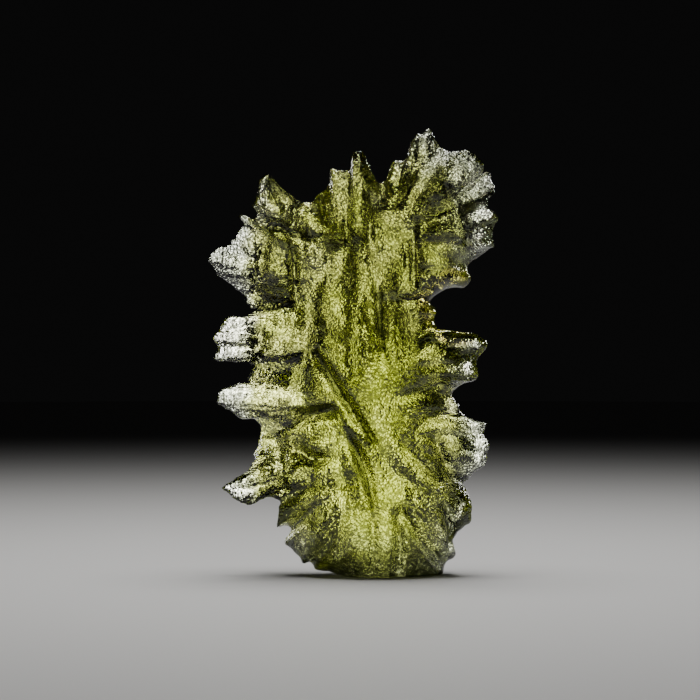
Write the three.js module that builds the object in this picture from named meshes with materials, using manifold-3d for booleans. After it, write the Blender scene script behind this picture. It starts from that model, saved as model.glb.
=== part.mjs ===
// A moldavite: one natural piece of green glass, a flat upright body with thin fins all round its
// rim, more fins and furrows on both faces, and a small flat spot that it stands on.
// Millimetres, +Z up. The front looks along -Y, and +X is to its right.
import * as THREE from "three";
import { ParametricGeometry } from "three/addons/geometries/ParametricGeometry.js";
import { mergeVertices } from "three/addons/utils/BufferGeometryUtils.js";
import Module from "manifold-3d";

// Driving dimensions
const heart = [0.8, 15.6]; // middle of the stone, [x, z]
const frameShift = [-0.05, 0.1]; // moves the middle of the footprint to x = 0, y = 0
const coreShare = 0.4; // part of each ray that lies in the core, before it turns into its fin
const rootReach = 2.0; // the fins' roots are evened out over this length of rim
const leanReach = 0.9; // and their leans over this length
const spineShare = 0.78; // the rays start on a spine that is this much as tall as their roots
const ringCount = 10; // rings of points from the spine to the rim, on each face
const ringEase = 1.5; // power that packs the rings closer together towards the rim
const footPoint = 172; // the rim point straight below the spine
const tipThickness = 0.75; // of a fin near its tip
const rootThickness = 1.35; // of a fin where it leaves the body
const frontShare = 0.54; // of the body's depth in front of its middle sheet
const leastShare = 0.28; // of a face's depth that is left under the deepest furrow
const closing = 8; // power that rounds the rim: higher is blunter
const leanEase = 3; // power that keeps the fins' lean near their tips
const bow = 0.9; // the crown lies this far behind the middle
const bowStart = 12; // height where the stone starts to lean back
const ribHeight = 0.85; // of the rib that runs in from each fin
const ribSpan = 1.5; // a fin stands out this far from the evened rim to get its whole rib
const ribReach = 3.2; // the rim is evened out over this length to tell fins from notches
const ribCurve = { gain: 1.6, rise: 0.8, fall: 0.6 }; // the rib's height from root to tip
const footDepth = 4; // the glass cut away below the flat spot
const footSpan = 60; // width of the cut
const pointGap = 1e-4; // points nearer than this are one

// The body's depth is a sum of round swellings: middle x and z, half width, half height, depth
const swellings = [
  { x: 1.5, z: 14.0, halfX: 5.4, halfZ: 11.5, depth: 7.6 },
  { x: 2.2, z: 2.6, halfX: 5.8, halfZ: 5.5, depth: 4.4 },
  { x: 6.9, z: 29.6, halfX: 3.0, halfZ: 4.6, depth: 2.6 },
  { x: -5.1, z: 26.6, halfX: 2.6, halfZ: 3.0, depth: 1.9 },
  { x: 6.6, z: 24.6, halfX: 2.2, halfZ: 2.2, depth: 1.5 },
  { x: 0.2, z: 29.0, halfX: 2.6, halfZ: 3.4, depth: 1.8 },
  { x: -4.6, z: 10.6, halfX: 2.6, halfZ: 2.4, depth: 1.4 },
  { x: 7.4, z: 8.6, halfX: 2.0, halfZ: 3.2, depth: 1.2 },
];

// The rim, clockwise from the foot's left corner as seen from the front: each stretch has the
// place its rays grow from, how far its tip lies behind the middle (+) or before it (-), and its
// own points, [x, z]
const stretches = [
  { name: "foot corner", root: [0.2, 5.0], lean: 0.2, rim: [[-1.2, -0.2], [-2.2, 0.2]] },
  {
    name: "lower lobe", root: [-0.8, 5.4], lean: -0.6,
    rim: [[-3.0, 0.4], [-3.4, 1.0], [-4.0, 0.8], [-4.4, 1.4], [-5.0, 1.9]],
  },
  { name: "heel", root: [-1.7, 6.1], lean: 0.9, rim: [[-5.6, 2.3], [-5.4, 3.0], [-5.2, 3.7]] },
  {
    name: "heel spur", root: [-2.3, 7.2], lean: -1.3,
    rim: [[-6.1, 3.8], [-6.0, 4.6], [-5.9, 5.3], [-5.6, 5.9]],
  },
  {
    name: "long spike", root: [-2.9, 8.9], lean: -1.8,
    rim: [
      [-6.2, 6.3], [-6.8, 6.2], [-7.6, 6.0], [-8.4, 5.7], [-9.1, 6.0], [-9.8, 6.5],
      [-10.6, 6.9], [-10.5, 7.3], [-9.8, 7.7], [-9.1, 8.1], [-8.4, 8.6],
    ],
  },
  {
    name: "small fin", root: [-3.3, 11.4], lean: 2.0,
    rim: [[-8.0, 9.1], [-8.0, 9.6], [-7.7, 10.2], [-7.5, 10.8], [-7.3, 11.6]],
  },
  {
    name: "lower left fin", root: [-3.5, 13.6], lean: 0.9,
    rim: [
      [-7.6, 12.1], [-8.4, 12.4], [-9.2, 12.6], [-10.0, 13.0], [-10.6, 13.4], [-11.1, 13.8],
      [-11.0, 14.5], [-10.8, 15.0], [-10.0, 15.1], [-9.2, 15.4], [-8.6, 15.5],
    ],
  },
  {
    name: "square fin", root: [-3.5, 18.4], lean: -1.0,
    rim: [
      [-8.4, 16.2], [-8.3, 16.8], [-9.1, 17.0], [-10.0, 17.1], [-10.8, 17.1], [-11.2, 17.4],
      [-11.0, 18.2], [-11.2, 19.0], [-10.7, 19.6], [-10.7, 20.2], [-9.8, 20.6], [-9.0, 20.8],
    ],
  },
  {
    name: "upper left fin", root: [-3.5, 23.6], lean: 1.7,
    rim: [
      [-8.2, 21.1], [-8.6, 21.7], [-8.9, 22.4], [-9.6, 23.0], [-10.3, 23.5], [-11.0, 24.0],
      [-11.5, 24.6], [-11.7, 25.3], [-11.1, 26.0], [-10.4, 26.5], [-9.7, 27.0], [-9.2, 27.6],
    ],
  },
  {
    name: "shoulder spur", root: [-3.3, 25.4], lean: 0.2,
    rim: [[-8.9, 28.2], [-9.0, 28.7], [-8.3, 28.5]],
  },
  {
    name: "horn fin", root: [-2.8, 27.2], lean: -1.6,
    rim: [
      [-7.8, 28.9], [-8.0, 29.4], [-7.8, 30.2], [-7.7, 30.8], [-7.3, 31.5], [-6.9, 32.2],
      [-6.4, 31.7], [-5.9, 31.2], [-5.2, 30.7], [-4.7, 30.2],
    ],
  },
  {
    name: "saddle", root: [-1.7, 27.4], lean: 0.5,
    rim: [[-4.0, 29.9], [-3.2, 29.9], [-2.8, 30.6], [-2.1, 31.1]],
  },
  {
    name: "crown step", root: [-0.7, 27.6], lean: 1.1,
    rim: [[-1.9, 31.9], [-1.8, 32.6], [-1.1, 32.6], [-0.4, 32.6]],
  },
  {
    name: "middle peak", root: [0.6, 27.7], lean: -1.3,
    rim: [[-0.3, 33.1], [0.0, 33.9], [0.8, 34.0], [1.3, 33.1], [1.8, 31.9]],
  },
  { name: "crown notch", root: [1.9, 27.7], lean: 0, rim: [[2.2, 31.5], [2.7, 31.8]] },
  {
    name: "tall peak", root: [3.3, 28.4], lean: 1.2,
    rim: [
      [3.0, 32.4], [3.4, 33.0], [4.1, 33.4], [4.5, 34.1], [4.8, 34.9], [5.3, 35.5],
      [5.7, 35.3], [6.0, 35.9], [6.3, 36.0], [6.8, 35.2], [7.4, 34.2],
    ],
  },
  {
    name: "round lobe", root: [4.6, 28.6], lean: -1.2,
    rim: [[8.2, 34.0], [9.1, 33.9], [10.0, 33.5], [10.4, 32.8], [10.4, 32.0]],
  },
  {
    name: "upper thorn", root: [5.3, 28.2], lean: 1.6,
    rim: [[11.0, 32.2], [11.5, 31.5], [11.5, 30.8], [11.1, 30.2]],
  },
  {
    name: "side thorn", root: [5.6, 27.6], lean: -1.1,
    rim: [[11.0, 29.5], [11.3, 28.9], [11.8, 28.4], [11.4, 27.8], [11.3, 27.0], [11.4, 26.3]],
  },
  {
    name: "lobe hem", root: [5.8, 26.6], lean: 0.6,
    rim: [[10.8, 25.8], [10.1, 25.5], [9.6, 25.0], [9.3, 24.3]],
  },
  {
    name: "notch lip", root: [5.3, 24.9], lean: 0.8,
    rim: [[9.5, 23.7], [9.0, 23.0], [8.3, 23.0], [7.6, 22.9]],
  },
  {
    name: "chip notch", root: [4.5, 21.2], lean: 0,
    rim: [[7.0, 22.6], [6.4, 22.2], [6.2, 21.7], [6.7, 21.1], [6.5, 20.4], [6.8, 19.7]],
  },
  {
    name: "right spike", root: [4.6, 17.0], lean: -1.5,
    rim: [
      [7.7, 19.6], [8.7, 19.4], [9.5, 19.4], [10.2, 19.1], [10.8, 18.6],
      [10.5, 18.1], [10.2, 17.4], [10.0, 16.9], [10.0, 16.2], [9.6, 15.6],
    ],
  },
  {
    name: "right bay", root: [4.5, 14.4], lean: 0.3,
    rim: [[8.8, 15.3], [8.3, 14.9], [8.0, 14.4], [8.5, 13.7], [8.5, 13.0]],
  },
  {
    name: "right fin", root: [4.6, 11.2], lean: 1.5,
    rim: [
      [9.1, 12.6], [9.9, 12.3], [10.8, 12.1], [10.7, 11.3], [10.8, 10.6],
      [11.0, 9.9], [10.8, 9.2], [10.4, 8.6], [9.9, 8.0], [9.3, 7.6],
    ],
  },
  { name: "lower bay", root: [4.5, 8.8], lean: 0, rim: [[8.8, 7.3], [9.2, 6.7]] },
  {
    name: "lower fin", root: [4.3, 7.0], lean: -1.4,
    rim: [[9.5, 6.0], [9.6, 5.2], [9.4, 4.3], [8.8, 3.8], [8.3, 3.2]],
  },
  { name: "toe", root: [3.8, 5.8], lean: 0.9, rim: [[8.2, 2.5], [8.4, 1.7], [8.1, 1.1], [7.5, 0.8]] },
  {
    name: "foot", root: [2.0, 4.7], lean: 0,
    rim: [[7.1, -0.2], [5.3, -1.2], [3.1, -1.5], [1.3, -1.5], [-0.3, -1.0]],
  },
];

// Furrows: three points of a curve on the face, [x, z], then depth and half width
const furrowSteps = 16;
const furrowFade = 0.8; // part of its depth that a furrow loses at both ends
const frontFurrows = [
  { curve: [[2.0, 23.2], [2.1, 19.6], [2.4, 16.8]], depth: 0.9, half: 0.6 },
  { curve: [[2.8, 22.0], [3.0, 19.2], [3.4, 16.2]], depth: 0.6, half: 0.6 },
  { curve: [[4.8, 27.4], [4.9, 25.0], [4.8, 22.6]], depth: 0.8, half: 0.6 },
  { curve: [[-2.8, 17.8], [-1.2, 14.8], [1.3, 11.4]], depth: 1.6, half: 0.8 },
  { curve: [[-0.1, 10.8], [1.2, 9.0], [1.6, 6.2]], depth: 1.4, half: 0.7 },
  { curve: [[-6.5, 28.0], [-7.3, 25.6], [-7.8, 22.6]], depth: 0.6, half: 0.6 },
  { curve: [[-4.8, 26.0], [-4.5, 24.0], [-4.8, 22.0]], depth: 0.8, half: 0.6 },
  { curve: [[-7.3, 20.0], [-7.2, 18.4], [-8.1, 17.0]], depth: 0.5, half: 0.7 },
  { curve: [[-4.3, 12.4], [-2.8, 13.0], [-1.5, 13.4]], depth: 1.2, half: 0.8 },
  { curve: [[-4.3, 10.2], [-3.3, 9.0], [-1.9, 9.6]], depth: 1.2, half: 0.7 },
  { curve: [[7.3, 31.2], [8.7, 29.4], [9.2, 26.0]], depth: 0.6, half: 0.6 },
  { curve: [[7.6, 26.3], [8.5, 26.4], [9.3, 26.8]], depth: 0.4, half: 0.6 },
  { curve: [[2.5, 22.0], [4.9, 21.6], [6.1, 22.8]], depth: 0.6, half: 0.7 },
  { curve: [[3.7, 14.4], [5.7, 14.6], [7.3, 15.6]], depth: 0.7, half: 0.7 },
  { curve: [[5.7, 12.8], [6.9, 12.6], [7.9, 13.0]], depth: 0.6, half: 0.7 },
  { curve: [[6.1, 11.4], [7.2, 9.8], [7.9, 7.4]], depth: 0.7, half: 0.6 },
  { curve: [[3.7, 6.0], [3.7, 2.8], [3.4, -0.6]], depth: 0.9, half: 0.7 },
  { curve: [[3.6, 5.6], [5.2, 2.8], [7.1, 0.6]], depth: 0.7, half: 0.6 },
  { curve: [[6.9, 6.0], [7.7, 4.4], [7.9, 2.4]], depth: 0.7, half: 0.7 },
  { curve: [[-0.7, 5.6], [-1.2, 3.2], [-1.6, 0.4]], depth: 0.6, half: 0.6 },
  { curve: [[1.5, 5.6], [1.6, 3.2], [1.5, 0.0]], depth: 0.6, half: 0.6 },
  { curve: [[-0.3, 31.6], [-0.7, 28.8], [-0.3, 25.2]], depth: 0.6, half: 0.6 },
  { curve: [[1.3, 31.2], [1.5, 28.8], [1.2, 26.4]], depth: 0.7, half: 0.6 },
  { curve: [[-4.3, 29.6], [-4.7, 28.2], [-4.3, 26.8]], depth: 1.1, half: 0.8 },
  { curve: [[-5.5, 28.8], [-5.5, 27.8], [-4.9, 27.0]], depth: 0.7, half: 0.6 },
  { curve: [[4.7, 32.8], [4.1, 31.2], [3.3, 30.0]], depth: 0.6, half: 0.7 },
  { curve: [[-6.3, 10.8], [-5.1, 9.6], [-5.7, 6.0]], depth: 0.7, half: 0.7 },
];

const backFurrows = [
  { curve: [[0.4, 26.8], [-0.6, 21.0], [0.6, 15.4]], depth: 1.2, half: 0.7 },
  { curve: [[1.0, 14.2], [0.2, 9.6], [1.4, 4.6]], depth: 1.3, half: 0.8 },
  { curve: [[3.0, 25.4], [3.6, 20.6], [2.8, 16.0]], depth: 0.8, half: 0.6 },
  { curve: [[-2.6, 23.0], [-2.2, 18.6], [-3.4, 14.4]], depth: 0.9, half: 0.7 },
  { curve: [[3.4, 13.6], [5.6, 12.8], [7.6, 13.6]], depth: 0.9, half: 0.7 },
  { curve: [[3.2, 9.8], [5.6, 7.4], [8.2, 7.0]], depth: 0.9, half: 0.7 },
  { curve: [[-3.2, 12.2], [-5.4, 11.6], [-7.0, 11.2]], depth: 0.9, half: 0.7 },
  { curve: [[-2.4, 8.4], [-4.4, 6.4], [-5.4, 6.2]], depth: 0.9, half: 0.7 },
  { curve: [[-3.6, 17.4], [-6.0, 16.6], [-8.0, 16.4]], depth: 0.8, half: 0.7 },
  { curve: [[-3.8, 21.6], [-6.0, 21.2], [-8.0, 21.2]], depth: 0.8, half: 0.7 },
  { curve: [[-3.4, 25.6], [-5.8, 27.4], [-7.8, 28.6]], depth: 0.8, half: 0.7 },
  { curve: [[-1.6, 27.0], [-2.8, 28.6], [-3.4, 29.8]], depth: 0.7, half: 0.7 },
  { curve: [[1.8, 28.0], [2.2, 29.8], [2.4, 31.2]], depth: 0.8, half: 0.7 },
  { curve: [[4.6, 27.6], [6.8, 30.4], [7.8, 33.0]], depth: 0.8, half: 0.7 },
  { curve: [[5.4, 26.4], [8.0, 27.6], [10.4, 29.6]], depth: 0.8, half: 0.7 },
  { curve: [[3.6, 22.2], [5.0, 21.8], [6.0, 22.0]], depth: 0.7, half: 0.7 },
  { curve: [[3.4, 18.2], [5.2, 17.8], [7.4, 18.4]], depth: 0.6, half: 0.6 },
  { curve: [[4.6, 6.4], [6.2, 4.2], [7.6, 1.0]], depth: 0.8, half: 0.7 },
  { curve: [[-1.0, 6.4], [-2.2, 3.6], [-3.4, 1.2]], depth: 0.8, half: 0.7 },
];

// Round hollows scattered over each face on a sunflower spiral, with the angle of the first one
const hollows = { count: 20, spread: 1.7, stretchZ: 1.75, radius: 1.15, depth: 0.34, turn: 2.4 };
const frontTurn = 0.4;
const backTurn = 2.1;

// Blades: ragged flakes that stand on the back face. Each has its root and tip, [x, y, z], then half its
// width and half its thickness, and its roll about its own length, in radians
const blades = [
  { name: "back crown", line: [[2.6, 0.4, 27.4], [4.6, 4.4, 32.0]], half: [1.5, 0.5], turn: -0.3 },
  { name: "back lobe", line: [[6.2, 0.4, 26.4], [9.8, 3.7, 29.2]], half: [1.6, 0.45], turn: 0.4 },
  { name: "back saddle", line: [[-1.0, 0.6, 25.0], [-2.8, 4.6, 28.6]], half: [1.5, 0.5], turn: 0.5 },
  { name: "back shoulder", line: [[-3.4, 0.6, 21.8], [-7.8, 4.4, 23.4]], half: [1.7, 0.5], turn: -0.4 },
  { name: "back left", line: [[-3.0, 1.0, 15.4], [-8.0, 4.6, 15.0]], half: [1.7, 0.5], turn: 0.3 },
  { name: "back heel", line: [[-2.0, 1.0, 8.2], [-6.6, 4.2, 7.0]], half: [1.6, 0.5], turn: -0.5 },
  { name: "back right", line: [[4.6, 1.2, 16.6], [8.8, 4.4, 17.4]], half: [1.5, 0.5], turn: 0.4 },
  { name: "back lower", line: [[5.0, 1.0, 9.6], [9.2, 4.2, 10.4]], half: [1.6, 0.5], turn: -0.3 },
  { name: "back toe", line: [[4.0, 0.8, 4.4], [7.6, 3.4, 3.2]], half: [1.4, 0.5], turn: 0.4 },
];
const bladeSides = 8;
const bladeRings = 7;
const bladeRag = 0.25; // part of its half width that a blade's edge goes in and out
const bladeTaper = 0.6; // part of its half width that a blade loses towards its tip
const bladeWave = 9; // radians of the edge's wave from root to tip
const bladePhase = 20; // radians of the wave's shift for each radian of turn

const rim = stretches.flatMap((stretch) => stretch.rim);
const leans = stretches.flatMap((stretch) => stretch.rim.map(() => stretch.lean));
const roots = stretches.flatMap((stretch) => stretch.rim.map(() => stretch.root));

// Length of rim up to each point, and the length that each point stands for
const steps = rim.map(([x, z], i) => {
  const [nextX, nextZ] = rim[(i + 1) % rim.length];
  return Math.hypot(nextX - x, nextZ - z);
});
const rimLength = steps.reduce((sum, step) => sum + step, 0);
const along = steps.map((_, i) => steps.slice(0, i).reduce((sum, step) => sum + step, 0));
const shares = steps.map((step, i) => (step + steps.at(i - 1)) / 2);

// A value given at each rim point, evened out along the rim with a bell curve of the given reach
function evened(values, reach) {
  return rim.map((_, i) => {
    let sum = 0;
    let total = 0;
    values.forEach((value, j) => {
      const gap = Math.abs(along[i] - along[j]);
      const weight = shares[j] * Math.exp(-((Math.min(gap, rimLength - gap) / reach) ** 2));
      sum += weight * value;
      total += weight;
    });
    return sum / total;
  });
}

const bendX = evened(roots.map((root) => root[0]), rootReach);
const bendZ = evened(roots.map((root) => root[1]), rootReach);
const leanAt = evened(leans, leanReach);
const rimTop = Math.max(...rim.map((point) => point[1]));
const evenX = evened(rim.map((point) => point[0]), ribReach);
const evenZ = evened(rim.map((point) => point[1]), ribReach);

// The spine: halfway between the two roots at one height, drawn in towards the heart
const spineAt = rim.map((_, i) => {
  const twin = (2 * footPoint - i + 2 * rim.length) % rim.length;
  return [
    heart[0] + spineShare * ((bendX[i] + bendX[twin]) / 2 - heart[0]),
    heart[1] + spineShare * ((bendZ[i] + bendZ[twin]) / 2 - heart[1]),
  ];
});

// 1 on the line of a fin and -1 in a notch: how far the rim stands out of the evened rim
const ribAt = rim.map(([x, z], i) => {
  const outX = x - bendX[i];
  const outZ = z - bendZ[i];
  const out = (x - evenX[i]) * outX + (z - evenZ[i]) * outZ;
  return THREE.MathUtils.clamp(out / Math.hypot(outX, outZ) / ribSpan, -1, 1);
});

const bell = (x) => Math.exp(-x * x);

// Depth cut by furrows at a point: each a bell across its curve that runs out at both ends
function furrowDepth(furrows, x, z) {
  let depth = 0;
  for (const { curve: [from, via, to], depth: most, half } of furrows) {
    let best = 0;
    for (let step = 0; step <= furrowSteps; step++) {
      const t = step / furrowSteps;
      const a = (1 - t) * (1 - t);
      const b = 2 * t * (1 - t);
      const c = t * t;
      const gapX = a * from[0] + b * via[0] + c * to[0] - x;
      const gapZ = a * from[1] + b * via[1] + c * to[1] - z;
      const gap = Math.hypot(gapX, gapZ);
      best = Math.max(best, bell(gap / half) * (1 - Math.abs(2 * t - 1) ** 3 * furrowFade));
    }
    depth += most * best;
  }
  return depth;
}

// Depth of the round hollows at a point
function hollowDepth(x, z, firstTurn) {
  let depth = 0;
  for (let i = 0; i < hollows.count; i++) {
    const radius = hollows.spread * Math.sqrt(i + 0.5);
    const angle = firstTurn + hollows.turn * i;
    const gapX = x - heart[0] - radius * Math.cos(angle);
    const gapZ = z - heart[1] - radius * hollows.stretchZ * Math.sin(angle);
    depth += hollows.depth * bell(Math.hypot(gapX, gapZ) / hollows.radius);
  }
  return depth;
}

// The body: rays run from the spine through their root to the rim. Both faces stand off a middle
// sheet by half the summed swellings plus the fin's thickness, and close on the rim
function bodyPoint(u, v, target) {
  const i = Math.round(u * rim.length) % rim.length;
  const front = v < 0.5;
  const share = 1 - (1 - (front ? 2 * v : 2 - 2 * v)) ** ringEase;
  const start = spineAt[i];
  const bend = [bendX[i], bendZ[i]];
  const core = Math.min(share / coreShare, 1);
  const fin = Math.max((share - coreShare) / (1 - coreShare), 0);
  const x = start[0] + (bend[0] - start[0]) * core + (rim[i][0] - bend[0]) * fin;
  const z = start[1] + (bend[1] - start[1]) * core + (rim[i][1] - bend[1]) * fin;

  const swelling = swellings.reduce(
    (sum, s) => sum + s.depth * bell((x - s.x) / s.halfX) * bell((z - s.z) / s.halfZ),
    0,
  );
  const thickness = swelling + THREE.MathUtils.lerp(rootThickness, tipThickness, fin);
  const close = Math.sqrt(Math.max(1 - share ** closing, 0));
  const rise = ribCurve.gain * fin ** ribCurve.rise * (1 - fin) ** ribCurve.fall;
  const furrow = front ? furrowDepth(frontFurrows, x, z) : furrowDepth(backFurrows, x, z);
  const hollow = hollowDepth(x, z, front ? frontTurn : backTurn);
  const half = thickness * (front ? frontShare : 1 - frontShare);
  const depth = half + ribHeight * ribAt[i] * rise - furrow - hollow;
  const stand = Math.max(depth, leastShare * half) * close;
  const leanBack = bow * (Math.max(z - bowStart, 0) / (rimTop - bowStart)) ** 2;
  const middle = leanAt[i] * share ** leanEase + leanBack;
  target.set(x, front ? middle - stand : middle + stand, z);
}

// A blade: an oval section that swells from nothing at the root and closes at the tip, with one
// edge that goes in and out
function bladePoint({ line: [root, tip], half: [wide, thick], turn }, u, v, target) {
  const start = new THREE.Vector3(...root);
  const length = new THREE.Vector3(...tip).sub(start);
  const axis = length.clone().normalize();
  const across = new THREE.Vector3(0, 1, 0).cross(length).normalize().applyAxisAngle(axis, turn);
  const through = new THREE.Vector3().crossVectors(axis, across);
  const around = (2 * Math.PI * Math.round(u * bladeSides)) / bladeSides;
  const swell = Math.sqrt(Math.max(1 - Math.abs(2 * v - 1) ** 3, 0)) * (1 - bladeTaper * v);
  const wave = Math.sin(bladeWave * v + bladePhase * turn);
  const rag = 1 + bladeRag * wave * v * (1 + Math.cos(around));
  target
    .copy(start)
    .addScaledVector(length, v)
    .addScaledVector(across, wide * swell * rag * Math.cos(around))
    .addScaledVector(through, thick * swell * Math.sin(around));
}

// One closed mesh of a surface: shared points merged, triangles without area dropped
function closed(geometry) {
  geometry.deleteAttribute("normal");
  geometry.deleteAttribute("uv");
  const merged = mergeVertices(geometry, pointGap);
  const kept = [];
  const index = merged.index.array;
  for (let i = 0; i < index.length; i += 3) {
    const [a, b, c] = index.subarray(i, i + 3);
    if (a !== b && b !== c && c !== a) kept.push(a, b, c);
  }
  merged.setIndex(kept);
  return merged;
}

const wasm = await Module();
wasm.setup();

function solid(geometry) {
  return new wasm.Manifold(
    new wasm.Mesh({
      numProp: 3,
      vertProperties: geometry.attributes.position.array,
      triVerts: new Uint32Array(geometry.index.array),
    }),
  );
}

function geometryOf(manifold) {
  const mesh = manifold.getMesh();
  return new THREE.BufferGeometry()
    .setAttribute("position", new THREE.BufferAttribute(new Float32Array(mesh.vertProperties), 3))
    .setIndex([...mesh.triVerts]);
}

function stoneGeometry() {
  let stone = solid(closed(new ParametricGeometry(bodyPoint, rim.length, 2 * ringCount)));
  for (const blade of blades) {
    const surface = (u, v, target) => bladePoint(blade, u, v, target);
    stone = stone.add(solid(closed(new ParametricGeometry(surface, bladeSides, bladeRings))));
  }
  const cut = new THREE.BoxGeometry(footSpan, footSpan, footDepth).translate(0, 0, -footDepth / 2);
  stone = stone.subtract(solid(closed(cut)));
  return geometryOf(stone).translate(frameShift[0], frameShift[1], 0);
}

const glass = new THREE.MeshStandardMaterial({
  name: "green glass",
  color: 0x76783f,
  roughness: 0.3,
  metalness: 0,
  transparent: true,
  opacity: 0.8,
});

const moldavite = new THREE.Mesh(stoneGeometry(), glass);
moldavite.name = "moldavite";

const stone = new THREE.Group();
stone.add(moldavite);
export default stone;
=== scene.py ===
import math

import bpy
import numpy as np
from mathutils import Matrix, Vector


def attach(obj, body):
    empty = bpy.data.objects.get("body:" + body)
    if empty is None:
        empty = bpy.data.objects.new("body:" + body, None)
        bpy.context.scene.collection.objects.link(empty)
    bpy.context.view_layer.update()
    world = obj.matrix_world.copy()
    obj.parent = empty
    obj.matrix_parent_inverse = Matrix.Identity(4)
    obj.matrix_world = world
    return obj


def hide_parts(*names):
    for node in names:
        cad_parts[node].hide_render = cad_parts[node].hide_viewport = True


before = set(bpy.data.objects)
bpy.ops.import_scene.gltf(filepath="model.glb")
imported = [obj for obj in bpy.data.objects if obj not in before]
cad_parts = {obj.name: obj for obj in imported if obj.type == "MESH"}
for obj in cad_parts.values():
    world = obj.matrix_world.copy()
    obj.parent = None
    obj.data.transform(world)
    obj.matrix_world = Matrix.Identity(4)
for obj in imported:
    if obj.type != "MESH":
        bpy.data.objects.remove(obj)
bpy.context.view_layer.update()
mm = 0.001
print("frame loaded")

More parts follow.
